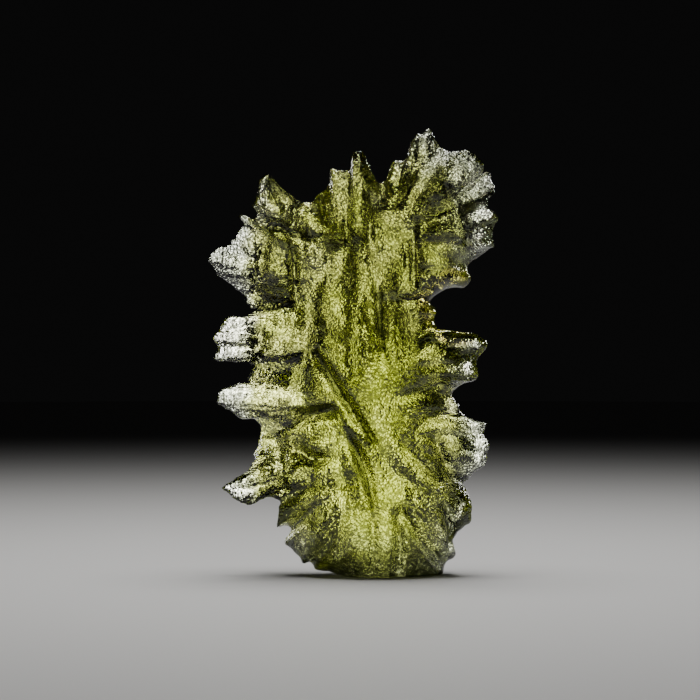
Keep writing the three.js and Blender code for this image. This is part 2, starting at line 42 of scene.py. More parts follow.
# The rim, clockwise from the foot's left corner as seen from the front, in mm: each stretch has the
# root that its rays grow from, how far its tip lies behind (+) or before (-) the middle, and its points
stoneRim = {
    "foot corner": {"root": [0.2, 5.0], "lean": 0.2, "rim": [[-1.2, -0.2], [-2.2, 0.2]]},
    "lower lobe": {"root": [-0.8, 5.4], "lean": -0.6, "rim": [
        [-3.0, 0.4], [-3.4, 1.0], [-4.0, 0.8], [-4.4, 1.4], [-5.0, 1.9],
    ]},
    "heel": {"root": [-1.7, 6.1], "lean": 0.9, "rim": [[-5.6, 2.3], [-5.4, 3.0], [-5.2, 3.7]]},
    "heel spur": {"root": [-2.3, 7.2], "lean": -1.3, "rim": [
        [-6.1, 3.8], [-6.0, 4.6], [-5.9, 5.3], [-5.6, 5.9],
    ]},
    "long spike": {"root": [-2.9, 8.9], "lean": -1.8, "rim": [
        [-6.2, 6.3], [-6.8, 6.2], [-7.6, 6.0], [-8.4, 5.7], [-9.1, 6.0], [-9.8, 6.5], [-10.6, 6.9],
        [-10.5, 7.3], [-9.8, 7.7], [-9.1, 8.1], [-8.4, 8.6],
    ]},
    "small fin": {"root": [-3.3, 11.4], "lean": 2.0, "rim": [
        [-8.0, 9.1], [-8.0, 9.6], [-7.7, 10.2], [-7.5, 10.8], [-7.3, 11.6],
    ]},
    "lower left fin": {"root": [-3.5, 13.6], "lean": 0.9, "rim": [
        [-7.6, 12.1], [-8.4, 12.4], [-9.2, 12.6], [-10.0, 13.0], [-10.6, 13.4], [-11.1, 13.8], [-11.0, 14.5],
        [-10.8, 15.0], [-10.0, 15.1], [-9.2, 15.4], [-8.6, 15.5],
    ]},
    "square fin": {"root": [-3.5, 18.4], "lean": -1.0, "rim": [
        [-8.4, 16.2], [-8.3, 16.8], [-9.1, 17.0], [-10.0, 17.1], [-10.8, 17.1], [-11.2, 17.4], [-11.0, 18.2],
        [-11.2, 19.0], [-10.7, 19.6], [-10.7, 20.2], [-9.8, 20.6], [-9.0, 20.8],
    ]},
    "upper left fin": {"root": [-3.5, 23.6], "lean": 1.7, "rim": [
        [-8.2, 21.1], [-8.6, 21.7], [-8.9, 22.4], [-9.6, 23.0], [-10.3, 23.5], [-11.0, 24.0], [-11.5, 24.6],
        [-11.7, 25.3], [-11.1, 26.0], [-10.4, 26.5], [-9.7, 27.0], [-9.2, 27.6],
    ]},
    "shoulder spur": {"root": [-3.3, 25.4], "lean": 0.2, "rim": [[-8.9, 28.2], [-9.0, 28.7], [-8.3, 28.5]]},
    "horn fin": {"root": [-2.8, 27.2], "lean": -1.6, "rim": [
        [-7.8, 28.9], [-8.0, 29.4], [-7.8, 30.2], [-7.7, 30.8], [-7.3, 31.5], [-6.9, 32.2], [-6.4, 31.7],
        [-5.9, 31.2], [-5.2, 30.7], [-4.7, 30.2],
    ]},
    "saddle": {"root": [-1.7, 27.4], "lean": 0.5, "rim": [
        [-4.0, 29.9], [-3.2, 29.9], [-2.8, 30.6], [-2.1, 31.1],
    ]},
    "crown step": {"root": [-0.7, 27.6], "lean": 1.1, "rim": [
        [-1.9, 31.9], [-1.8, 32.6], [-1.1, 32.6], [-0.4, 32.6],
    ]},
    "middle peak": {"root": [0.6, 27.7], "lean": -1.3, "rim": [
        [-0.3, 33.1], [0.0, 33.9], [0.8, 34.0], [1.3, 33.1], [1.8, 31.9],
    ]},
    "crown notch": {"root": [1.9, 27.7], "lean": 0, "rim": [[2.2, 31.5], [2.7, 31.8]]},
    "tall peak": {"root": [3.3, 28.4], "lean": 1.2, "rim": [
        [3.0, 32.4], [3.4, 33.0], [4.1, 33.4], [4.5, 34.1], [4.8, 34.9], [5.3, 35.5], [5.7, 35.3],
        [6.0, 35.9], [6.3, 36.0], [6.8, 35.2], [7.4, 34.2],
    ]},
    "round lobe": {"root": [4.6, 28.6], "lean": -1.2, "rim": [
        [8.2, 34.0], [9.1, 33.9], [10.0, 33.5], [10.4, 32.8], [10.4, 32.0],
    ]},
    "upper thorn": {"root": [5.3, 28.2], "lean": 1.6, "rim": [
        [11.0, 32.2], [11.5, 31.5], [11.5, 30.8], [11.1, 30.2],
    ]},
    "side thorn": {"root": [5.6, 27.6], "lean": -1.1, "rim": [
        [11.0, 29.5], [11.3, 28.9], [11.8, 28.4], [11.4, 27.8], [11.3, 27.0], [11.4, 26.3],
    ]},
    "lobe hem": {"root": [5.8, 26.6], "lean": 0.6, "rim": [
        [10.8, 25.8], [10.1, 25.5], [9.6, 25.0], [9.3, 24.3],
    ]},
    "notch lip": {"root": [5.3, 24.9], "lean": 0.8, "rim": [
        [9.5, 23.7], [9.0, 23.0], [8.3, 23.0], [7.6, 22.9],
    ]},
    "chip notch": {"root": [4.5, 21.2], "lean": 0, "rim": [
        [7.0, 22.6], [6.4, 22.2], [6.2, 21.7], [6.7, 21.1], [6.5, 20.4], [6.8, 19.7],
    ]},
    "right spike": {"root": [4.6, 17.0], "lean": -1.5, "rim": [
        [7.7, 19.6], [8.7, 19.4], [9.5, 19.4], [10.2, 19.1], [10.8, 18.6], [10.5, 18.1], [10.2, 17.4],
        [10.0, 16.9], [10.0, 16.2], [9.6, 15.6],
    ]},
    "right bay": {"root": [4.5, 14.4], "lean": 0.3, "rim": [
        [8.8, 15.3], [8.3, 14.9], [8.0, 14.4], [8.5, 13.7], [8.5, 13.0],
    ]},
    "right fin": {"root": [4.6, 11.2], "lean": 1.5, "rim": [
        [9.1, 12.6], [9.9, 12.3], [10.8, 12.1], [10.7, 11.3], [10.8, 10.6], [11.0, 9.9], [10.8, 9.2],
        [10.4, 8.6], [9.9, 8.0], [9.3, 7.6],
    ]},
    "lower bay": {"root": [4.5, 8.8], "lean": 0, "rim": [[8.8, 7.3], [9.2, 6.7]]},
    "lower fin": {"root": [4.3, 7.0], "lean": -1.4, "rim": [
        [9.5, 6.0], [9.6, 5.2], [9.4, 4.3], [8.8, 3.8], [8.3, 3.2],
    ]},
    "toe": {"root": [3.8, 5.8], "lean": 0.9, "rim": [[8.2, 2.5], [8.4, 1.7], [8.1, 1.1], [7.5, 0.8]]},
    "foot": {"root": [2.0, 4.7], "lean": 0, "rim": [
        [7.1, -0.2], [5.3, -1.2], [3.1, -1.5], [1.3, -1.5], [-0.3, -1.0],
    ]},
}

# What a user would change about the body. Lengths in mm
stone = {
    "heart": [0.8, 15.6],          # middle of the stone, x and z
    "frameShift": [-0.05, 0.1],    # puts the middle of the footprint at x = 0, y = 0
    "coreShare": 0.4,              # part of a ray that lies in the core
    "rootReach": 2.0,              # length of rim over which the roots are evened
    "leanReach": 0.9,
    "spineShare": 0.78,            # height of the spine against the roots'
    "footPoint": 172,              # rim point straight below the spine
    "tipThickness": 0.75,
    "rootThickness": 1.35,
    "frontShare": 0.54,            # part of the depth in front of the middle sheet
    "bow": 0.9,                    # the crown lies this far behind the middle
    "bowStart": 12.0,
    "ribHeight": 0.85,
    "ribSpan": 1.5,
    "ribReach": 3.2,
    "height": 36,
    "leastShare": 0.28,            # part of a face's depth that is left under the deepest furrow
    "closing": 7,                  # power that rounds the rim
    "leanEase": 3,                 # power that keeps the fins' lean near their tips
    "ribCurve": [1.6, 0.8, 0.6],   # the rib's gain, and its powers at the root and at the tip
    "finBlend": 0.3,               # part of a fin over which its skin takes over from the core's
    "ringEase": 1.35,              # power that packs the rings closer together towards the rim
    "raysPerPoint": 8,
    "ringsPerFace": 120,
    "voxel": 0.168,
    "softness": 0.5,
    "depthEase": 4.2,              # half depth past which relief is pressed in, and the room it keeps
    "depthRoom": 0.5,
    "topEase": 0.14,
    "topFade": [34.5, 36.2],       # heights between which the top comes down by topEase
    "footFlat": 0.06,              # what lies lower than this is the flat foot
    "yellowPart": [-0.1, 18.0, 8.3, 15.8],    # middle and half sizes, past which the fins are clear
    "seed": 41,
}

# Round swellings that sum up to the body's depth: middle x and z, half width, half height, depth
swellings = [
    [1.5, 14.0, 5.4, 11.5, 7.6],
    [2.2, 2.6, 5.8, 5.5, 4.4],
    [6.9, 29.6, 3.0, 4.6, 2.6],
    [-5.1, 26.6, 2.6, 3.0, 1.9],
    [6.6, 24.6, 2.2, 2.2, 1.5],
    [0.2, 29.0, 2.6, 3.4, 1.8],
    [-4.6, 10.6, 2.6, 2.4, 1.4],
    [7.4, 8.6, 2.0, 3.2, 1.2],
]

# Furrows and crests: a curve of three points (x, z), its depth or height, and half width
frontFurrows = [
    [[2.0, 23.2], [2.1, 19.6], [2.4, 16.8], 0.9, 0.26],
    [[2.6, 22.0], [2.8, 19.2], [3.2, 16.2], 0.6, 0.2],
    [[4.8, 27.4], [4.9, 25.0], [4.8, 22.6], 0.9, 0.3],
    [[-2.8, 17.8], [-1.2, 14.8], [1.3, 11.4], 1.8, 0.42],
    [[-0.1, 10.8], [1.2, 9.0], [1.6, 6.2], 1.5, 0.42],
    [[-6.5, 28.0], [-7.3, 25.6], [-7.8, 22.6], 0.8, 0.35],
    [[-4.8, 26.0], [-4.5, 24.0], [-4.8, 22.0], 0.9, 0.35],
    [[-7.3, 20.0], [-7.2, 18.4], [-8.1, 17.0], 0.7, 0.4],
    [[-4.3, 12.4], [-2.8, 13.0], [-1.5, 13.4], 1.3, 0.5],
    [[-4.3, 10.2], [-3.3, 9.0], [-1.9, 9.6], 1.3, 0.45],
    [[7.3, 31.2], [8.7, 29.4], [9.2, 26.0], 0.8, 0.34],
    [[7.6, 26.3], [8.5, 26.4], [9.3, 26.8], 0.5, 0.25],
    [[2.5, 22.0], [4.9, 21.6], [6.1, 22.8], 0.6, 0.35],
    [[3.7, 14.4], [5.7, 14.6], [7.3, 15.6], 0.8, 0.35],
    [[5.7, 12.8], [6.9, 12.6], [7.9, 13.0], 0.7, 0.35],
    [[6.1, 11.4], [7.2, 9.8], [7.9, 7.4], 0.8, 0.34],
    [[3.7, 6.0], [3.7, 2.8], [3.4, -0.6], 1.0, 0.4],
    [[3.6, 5.6], [5.2, 2.8], [7.1, 0.6], 0.8, 0.3],
    [[6.9, 6.0], [7.7, 4.4], [7.9, 2.4], 0.8, 0.4],
    [[-0.7, 5.6], [-1.2, 3.2], [-1.6, 0.4], 0.6, 0.3],
    [[1.5, 5.6], [1.6, 3.2], [1.5, 0.0], 0.7, 0.26],
    [[-0.3, 31.6], [-0.7, 28.8], [-0.3, 25.2], 0.7, 0.32],
    [[1.3, 31.2], [1.5, 28.8], [1.2, 26.4], 0.8, 0.32],
    [[-4.3, 29.6], [-4.7, 28.2], [-4.3, 26.8], 1.2, 0.55],
    [[-5.5, 28.8], [-5.5, 27.8], [-4.9, 27.0], 0.8, 0.35],
    [[4.7, 32.8], [4.1, 31.2], [3.3, 30.0], 0.8, 0.36],
    [[-6.3, 10.8], [-5.1, 9.6], [-5.7, 6.0], 0.8, 0.4],
]
frontCrests = [
    [[3.1, 6.4], [4.2, 3.6], [6.4, 1.0], 0.5, 0.26],
    [[2.4, 11.6], [3.6, 9.2], [6.2, 7.2], 0.5, 0.6],
    [[-5.4, 29.2], [-5.3, 28.6], [-5.1, 28.1], 0.9, 0.22],
    [[-4.3, 28.9], [-4.1, 28.3], [-4.5, 27.6], 0.9, 0.24],
    [[0.4, 22.0], [0.6, 18.0], [1.0, 14.6], 0.35, 0.5],
    [[-2.2, 8.2], [-2.6, 5.4], [-2.9, 2.2], 0.4, 0.7],
]
backFurrows = [
    [[0.4, 26.8], [-0.6, 21.0], [0.6, 15.4], 1.3, 0.4],
    [[1.0, 14.2], [0.2, 9.6], [1.4, 4.6], 1.4, 0.45],
    [[3.0, 25.4], [3.6, 20.6], [2.8, 16.0], 0.9, 0.32],
    [[-2.6, 23.0], [-2.2, 18.6], [-3.4, 14.4], 1.0, 0.36],
    [[3.4, 13.6], [5.6, 12.8], [7.6, 13.6], 1.0, 0.4],
    [[3.2, 9.8], [5.6, 7.4], [8.2, 7.0], 1.0, 0.4],
    [[-3.2, 12.2], [-5.4, 11.6], [-7.0, 11.2], 1.0, 0.4],
    [[-2.4, 8.4], [-4.4, 6.4], [-5.4, 6.2], 1.0, 0.4],
    [[-3.6, 17.4], [-6.0, 16.6], [-8.0, 16.4], 0.9, 0.4],
    [[-3.8, 21.6], [-6.0, 21.2], [-8.0, 21.2], 0.9, 0.4],
    [[-3.4, 25.6], [-5.8, 27.4], [-7.8, 28.6], 0.9, 0.36],
    [[-1.6, 27.0], [-2.8, 28.6], [-3.4, 29.8], 0.8, 0.36],
    [[1.8, 28.0], [2.2, 29.8], [2.4, 31.2], 0.9, 0.36],
    [[4.6, 27.6], [6.8, 30.4], [7.8, 33.0], 0.9, 0.36],
    [[5.4, 26.4], [8.0, 27.6], [10.4, 29.6], 0.9, 0.36],
    [[3.6, 22.2], [5.0, 21.8], [6.0, 22.0], 0.8, 0.36],
    [[3.4, 18.2], [5.2, 17.8], [7.4, 18.4], 0.7, 0.34],
    [[4.6, 6.4], [6.2, 4.2], [7.6, 1.0], 0.9, 0.36],
    [[-1.0, 6.4], [-2.2, 3.6], [-3.4, 1.2], 0.9, 0.36],
]
backCrests = [
    [[1.8, 24.0], [1.6, 20.0], [1.9, 15.0], 0.5, 0.5],
    [[2.6, 12.0], [3.0, 8.0], [4.4, 3.0], 0.5, 0.45],
    [[-1.2, 13.0], [-1.6, 9.0], [-1.0, 4.0], 0.4, 0.5],
]

# The front's hollows, pressed in and painted dark with shade, and its bosses, raised and painted
# bright with highlights: start and end (x, z), half width and strength
hollows = {
    "horn side": [[-6.4, 31.2], [-3.0, 29.6], 0.75, 0.9],
    "middle peak": [[0.5, 33.2], [0.9, 31.4], 0.4, 0.4],
    "shoulder hollow": [[-6.4, 27.9], [-3.5, 27.0], 0.56, 0.8],
    "between the two bumps": [[-4.9, 29.5], [-4.6, 27.6], 0.24, 0.6],
    "upper left fin's line": [[-10.2, 26.4], [-7.4, 24.9], 0.3, 1.0],
    "upper left root": [[-7.6, 26.4], [-6.4, 22.4], 0.26, 0.7],
    "saddle root": [[-4.9, 26.8], [-4.4, 21.8], 0.3, 0.65],
    "shoulder spur": [[-9.2, 28.2], [-7.3, 27.1], 0.4, 0.6],
    "pale patch's edge": [[-2.0, 28.0], [-1.7, 22.8], 0.32, 0.4],
    "crown groove": [[1.5, 27.4], [1.9, 22.6], 0.4, 0.6],
    "middle groove": [[2.0, 22.5], [2.4, 18.0], 0.36, 0.95],
    "middle groove's end": [[2.5, 18.0], [3.2, 16.1], 0.32, 0.7],
    "notch root": [[2.0, 29.5], [2.8, 27.1], 0.64, 0.5],
    "tall peak's side": [[4.0, 34.6], [3.7, 30.8], 0.48, 0.75],
    "tall peak's root": [[4.8, 34.0], [5.6, 31.1], 0.48, 0.5],
    "lobe's upper line": [[7.4, 31.0], [9.4, 27.8], 0.4, 0.8],
    "lobe's lower line": [[9.5, 27.8], [9.2, 25.0], 0.48, 0.85],
    "above the chip": [[4.9, 24.4], [8.8, 24.4], 0.48, 0.6],
    "right of the middle": [[3.6, 22.0], [4.7, 18.0], 0.96, 0.65],
    "below the chip": [[5.2, 21.8], [5.6, 19.9], 0.56, 0.6],
    "right spike": [[6.9, 18.5], [9.3, 17.5], 0.72, 0.75],
    "under the right spike": [[5.3, 16.2], [7.4, 14.3], 0.8, 0.55],
    "square fin's root": [[-8.1, 19.9], [-7.6, 17.7], 0.48, 0.7],
    "long furrow": [[-2.9, 17.8], [-0.8, 14.2], 0.34, 1.0],
    "long furrow's end": [[-0.8, 14.2], [1.6, 11.0], 0.3, 1.0],
    "left hollow": [[-4.0, 12.9], [-1.6, 13.2], 0.56, 0.9],
    "left hollow's end": [[-4.3, 12.4], [-4.6, 10.6], 0.32, 0.55],
    "lower furrow": [[-0.3, 11.1], [1.5, 5.8], 0.4, 0.9],
    "left root": [[-4.0, 10.8], [-3.3, 7.3], 0.64, 0.6],
    "lower hollow": [[-2.5, 7.4], [-0.3, 7.8], 0.72, 0.5],
    "right slope": [[3.9, 10.8], [7.4, 7.1], 0.28, 0.65],
    "right slope's end": [[7.2, 7.1], [8.4, 5.8], 0.4, 0.75],
    "foot groove": [[3.1, 6.2], [3.9, 2.0], 0.28, 0.65],
    "middle foot groove": [[1.8, 5.5], [2.0, 1.4], 0.32, 0.55],
    "lower fin's root": [[7.2, 5.6], [7.7, 2.2], 0.32, 0.65],
    "right fin's root": [[6.9, 11.1], [9.5, 10.3], 0.64, 0.65],
    "lower bay": [[8.1, 8.4], [9.4, 7.1], 0.32, 0.5],
    "between the left fins": [[-5.1, 16.2], [-7.3, 16.7], 0.4, 0.45],
}
bosses = {
    "horn's edge": [[-7.2, 31.8], [-7.6, 30.6], 0.28, 1.0],
    "horn's root": [[-7.3, 29.7], [-6.6, 29.0], 0.56, 0.7],
    "left bump": [[-5.3, 29.1], [-5.6, 28.6], 0.24, 0.8],
    "right bump": [[-4.2, 29.0], [-4.5, 27.9], 0.28, 0.8],
    "pale patch": [[-3.3, 27.4], [-3.0, 25.0], 0.72, 0.75],
    "upper block": [[-8.9, 27.1], [-8.0, 25.7], 0.56, 1.0],
    "lower block": [[-10.7, 25.0], [-8.8, 23.4], 0.85, 1.0],
    "crown block": [[1.9, 30.8], [2.2, 29.9], 0.48, 1.0],
    "tall peak's flake": [[4.0, 33.2], [2.8, 31.8], 0.4, 1.0],
    "tall peak's edge": [[4.8, 35.4], [4.4, 34.0], 0.32, 0.9],
    "lobe's ridge": [[7.1, 32.8], [9.2, 31.3], 0.56, 0.7],
    "upper thorn": [[10.8, 31.6], [10.1, 30.5], 0.4, 1.0],
    "side thorn": [[11.2, 28.9], [10.1, 28.2], 0.48, 1.0],
    "lower thorn": [[10.6, 27.4], [10.3, 26.2], 0.56, 1.0],
    "lobe's root": [[5.5, 31.0], [6.3, 30.6], 0.48, 0.7],
    "square fin": [[-10.8, 19.1], [-8.6, 19.3], 0.56, 1.0],
    "square fin's hem": [[-10.5, 18.0], [-7.3, 17.5], 0.32, 0.8],
    "square fin's top": [[-9.7, 20.2], [-8.1, 20.4], 0.32, 0.7],
    "lower left fin": [[-10.8, 14.0], [-9.1, 14.8], 0.64, 1.0],
    "left boss": [[-7.1, 14.2], [-3.8, 14.3], 0.8, 0.55],
    "long ridge": [[2.0, 13.2], [3.6, 9.0], 0.56, 0.55],
    "ridge's end": [[5.0, 8.7], [6.9, 7.3], 0.7, 0.8],
    "lower boss": [[5.4, 6.0], [6.3, 3.4], 0.85, 0.9],
    "heel": [[-3.4, 3.0], [-1.4, 1.2], 1.1, 1.0],
    "lower lobe": [[-5.2, 3.4], [-3.8, 2.2], 0.7, 0.9],
    "foot boss": [[-1.8, 5.6], [-0.6, 2.6], 1.5, 0.75],
    "long spike": [[-10.0, 6.8], [-8.3, 6.5], 0.4, 0.9],
    "long spike's root": [[-6.7, 8.9], [-5.1, 9.0], 0.56, 0.8],
    "small fin": [[-7.3, 10.8], [-7.6, 9.8], 0.32, 0.9],
    "right spike's hem": [[9.2, 16.7], [9.8, 16.1], 0.32, 1.0],
    "right fin": [[10.0, 12.2], [10.8, 10.4], 0.32, 0.9],
    "right fin's hem": [[10.7, 10.0], [10.1, 9.0], 0.24, 0.8],
    "lower fin": [[9.0, 5.6], [8.5, 4.1], 0.4, 0.9],
    "right spike's tip": [[10.0, 19.0], [10.5, 17.8], 0.32, 0.7],
    "furrow's bright lip": [[0.4, 12.0], [1.0, 11.0], 0.4, 0.6],
    "fine ridge": [[0.7, 19.6], [1.3, 15.8], 0.32, 0.45],
}

# Ragged flakes that stand on the back face: root and tip (x, y, z), half width, half thickness, roll
flakes = {
    "back crown": [[2.6, 0.4, 27.4], [4.6, 4.4, 32.0], 1.5, 0.5, -0.3],
    "back lobe": [[6.2, 0.4, 26.4], [9.8, 3.7, 29.2], 1.6, 0.45, 0.4],
    "back saddle": [[-1.0, 0.6, 25.0], [-2.8, 4.6, 28.6], 1.5, 0.5, 0.5],
    "back shoulder": [[-3.4, 0.6, 21.8], [-7.8, 4.4, 23.4], 1.7, 0.5, -0.4],
    "back left": [[-3.0, 1.0, 15.4], [-8.0, 4.6, 15.0], 1.7, 0.5, 0.3],
    "back heel": [[-2.0, 1.0, 8.2], [-6.6, 4.2, 7.0], 1.6, 0.5, -0.5],
    "back right": [[4.6, 1.2, 16.6], [8.8, 4.4, 17.4], 1.5, 0.5, 0.4],
    "back lower": [[5.0, 1.0, 9.6], [9.2, 4.2, 10.4], 1.6, 0.5, -0.3],
    "back toe": [[4.0, 0.8, 4.4], [7.6, 3.4, 3.2], 1.4, 0.5, 0.4],
}

flakeShape = {
    "sides": 96,
    "rings": 60,
    "taper": 0.6,                  # part of its width that a flake loses towards its tip
    "wave": [0.25, 9, 20],         # size, radians from root to tip, and shift per radian of roll
    "rag": [0.14, 9, 2],           # size, and noise along and round the flake
    "push": [0.16, 4, 2.5],
}

# The skin's relief, in mm: across and along a cell, and how deep it is
skin = {
    "finScallop": [1.5, 3.0, 0.32],
    "finFacet": [0.8, 1.3, 0.1],
    "finLine": [0.42, 2.2, 0.08],
    "coreScallop": [1.7, 4.0, 0.34],
    "coreFacet": [0.9, 1.5, 0.1],
    "coreLine": [0.42, 2.6, 0.1],
    "rag": [0.95, 0.17],           # rim's wavelength and how far it goes in and out
    "fineRag": [0.4, 0.08],
    "pit": [0.55, 0.035],          # size and depth of the round pits
    "smallPit": [0.42, 0.022],
    "cellRise": [1.6, 0.6],        # gain and drop of a scallop's cup, and of a pit's
    "pitRise": [1.5, 0.5],
    "warp": [0.35, 1.7, 2.3],      # noise that bends the cells: size, and its length in x and in z
    "curveReach": 9,               # a curve is felt no further than this from its middle
    "curveSteps": 25,
    "curveFade": 0.85,             # part of its depth that a curve loses at both ends
    "hollowDepth": 0.4,
    "bossHeight": 0.3,
    "chip": [8.0, 0.0, 21.5],      # middle of the smooth chip
    "chipReach": 3.0,
    "chipFade": [0.7, 1.15],       # parts of the reach between which the fine relief comes back
}

# How the hollows and bosses are marked for the material's painted shade and painted highlights
marks = {
    "edgeNoise": [0.07, 0.8],      # size and length in mm
    "edgeFade": [0.86, 1.16],
    "bandNoise": [0.25, 0.9, 9],   # size, length, and the shift between its two parts
    "frontFade": 0.5,              # the front's marks end this far behind the middle
    # size in mm of the noise that breaks up the painted shade in the hollows
    "shadeNoise": 0.34,
    # power and gain of the painted shade in the hollows
    "hollowPower": 1.25,
    "hollowGain": [1.18, 0.2],     # and how much the noise changes the painted shade
}

# Where each noise starts in the table of random numbers, and how far one turn moves in it
turns = {"rag": 3, "fineRag": 4, "face": 5, "pit": 20, "bandX": 30, "bandZ": 31, "shadeNoise": 32, "edge": 33}
cellShift = 13
noiseShift = 17
rng = np.random.default_rng(stone["seed"])
cellTable = rng.random((64, 64, 64, 3))


def bell(x):
    # e to the minus x squared
    return np.exp(-x * x)


def smoothStep(low, high, x):
    # 3 t^2 - 2 t^3, with t the part of the way from low to high, held between 0 and 1
    t = np.clip((x - low) / (high - low), 0, 1)
    return t * t * (3 - 2 * t)


def between(values, place):
    # through four neighbours a, b, c, d at fraction f of the way from b to c:
    # b + f (c - a) / 2 + f^2 (a - 5b/2 + 2c - d/2) + f^3 (3 (b - c) + d - a) / 2
    values = np.asarray(values, float)
    base = np.floor(place).astype(int)
    f = place - base
    if values.ndim == 2:
        f = f[:, None]
    a, b, c, d = (values[(base + k) % len(values)] for k in (-1, 0, 1, 2))
    return b + f * (c - a) / 2 + f**2 * (a - 2.5 * b + 2 * c - d / 2) + f**3 * (3 * (b - c) + d - a) / 2


def offChip(x, z):
    # 0 on the smooth chip, 1 away from it: a smooth step of the distance over chipReach
    gap = np.hypot(x - skin["chip"][0], z - skin["chip"][2])
    return smoothStep(*skin["chipFade"], gap / skin["chipReach"])


def cells(*coords, turn=0):
    # distance to the nearest of the points scattered one in each unit cell
    base = [np.floor(c).astype(int) for c in coords]
    nearest = np.full(coords[0].shape, np.inf)
    steps = np.array(np.meshgrid(*[[-1, 0, 1]] * len(coords))).reshape(len(coords), -1).T
    for step in steps:
        at = [(b + k + cellShift * turn) % len(cellTable) for b, k in zip(base, step)]
        if len(at) == 2:
            at.append(turn)
        offsets = cellTable[tuple(at)]
        gap = sum((b + k + offsets[..., i] - c) ** 2 for i, (b, k, c) in enumerate(zip(base, step, coords)))
        nearest = np.minimum(nearest, np.sqrt(gap))
    return nearest


def cupped(near, rise):
    # the gain times the square of a distance held under 1, less the drop
    return np.minimum(near, 1) ** 2 * rise[0] - rise[1]


def noise(*coords, turn=0):
    # values at the corners of unit cells, blended by 3 t^2 - 2 t^3 along each side, from -1 to 1
    base = [np.floor(c).astype(int) for c in coords]
    blend = [c - b for c, b in zip(coords, base)]
    blend = [f * f * (3 - 2 * f) for f in blend]
    total = np.zeros(coords[0].shape)
    for corner in range(2 ** len(coords)):
        bits = [(corner >> i) & 1 for i in range(len(coords))]
        at = [(b + k + noiseShift * turn) % len(cellTable) for b, k in zip(base, bits)]
        if len(at) == 2:
            at.append(turn)
        weight = np.ones(coords[0].shape)
        for f, bit in zip(blend, bits):
            weight = weight * (f if bit else 1 - f)
        total += weight * cellTable[tuple(at)][..., 0]
    return 2 * total - 1


def curveSum(rows, x, z):
    # each row adds its depth times a bell across its curve, times 1 - curveFade |2t - 1|^3 along it
    total = np.zeros(x.shape)
    for start, via, end, depth, half in rows:
        start, via, end = (np.array(p) for p in (start, via, end))
        best = np.zeros(x.shape)
        near = (np.abs(x - via[0]) < skin["curveReach"]) & (np.abs(z - via[1]) < skin["curveReach"])
        px = x[near]
        pz = z[near]
        reach = best[near]
        for t in np.linspace(0, 1, skin["curveSteps"]):
            at = (1 - t) ** 2 * start + 2 * t * (1 - t) * via + t * t * end
            fade = 1 - skin["curveFade"] * abs(2 * t - 1) ** 3
            reach = np.maximum(reach, fade * bell(np.hypot(px - at[0], pz - at[1]) / half))
        best[near] = reach
        total += depth * best
    return total


def bandMost(rows, x, z):
    # each row gives its strength times e^-(gap / half)^4, with the gap to its line, and the most counts
    total = np.zeros(x.shape)
    for start, end, half, strength in rows.values():
        start, end = np.array(start), np.array(end)
        line = end - start
        t = np.clip(((x - start[0]) * line[0] + (z - start[1]) * line[1]) / (line @ line), 0, 1)
        gap = np.hypot(x - start[0] - t * line[0], z - start[1] - t * line[1])
        total = np.maximum(total, strength * bell((gap / half) ** 2))
    return total


def rimTable():
    # the rim's points, and for each its root, lean and rib, evened along the rim by a bell of arc length
    rim = np.array([p for row in stoneRim.values() for p in row["rim"]])
    roots = np.array([row["root"] for row in stoneRim.values() for p in row["rim"]])
    leans = np.array([row["lean"] for row in stoneRim.values() for p in row["rim"]])
    step = np.linalg.norm(np.roll(rim, -1, 0) - rim, axis=1)
    along = np.concatenate([[0], np.cumsum(step)[:-1]])
    share = (step + np.roll(step, 1)) / 2

    def evened(values, reach):
        gap = np.abs(along[:, None] - along[None])
        weight = bell(np.minimum(gap, step.sum() - gap) / reach) * share
        return weight @ values / (weight.sum(1)[:, None] if values.ndim == 2 else weight.sum(1))

    bend = evened(roots, stone["rootReach"])
    out = rim - bend
    stand = ((rim - evened(rim, stone["ribReach"])) * out).sum(1) / np.linalg.norm(out, axis=1)
    rib = np.clip(stand / stone["ribSpan"], -1, 1)
    return rim, bend, evened(leans, stone["leanReach"]), rib, np.append(along, step.sum())


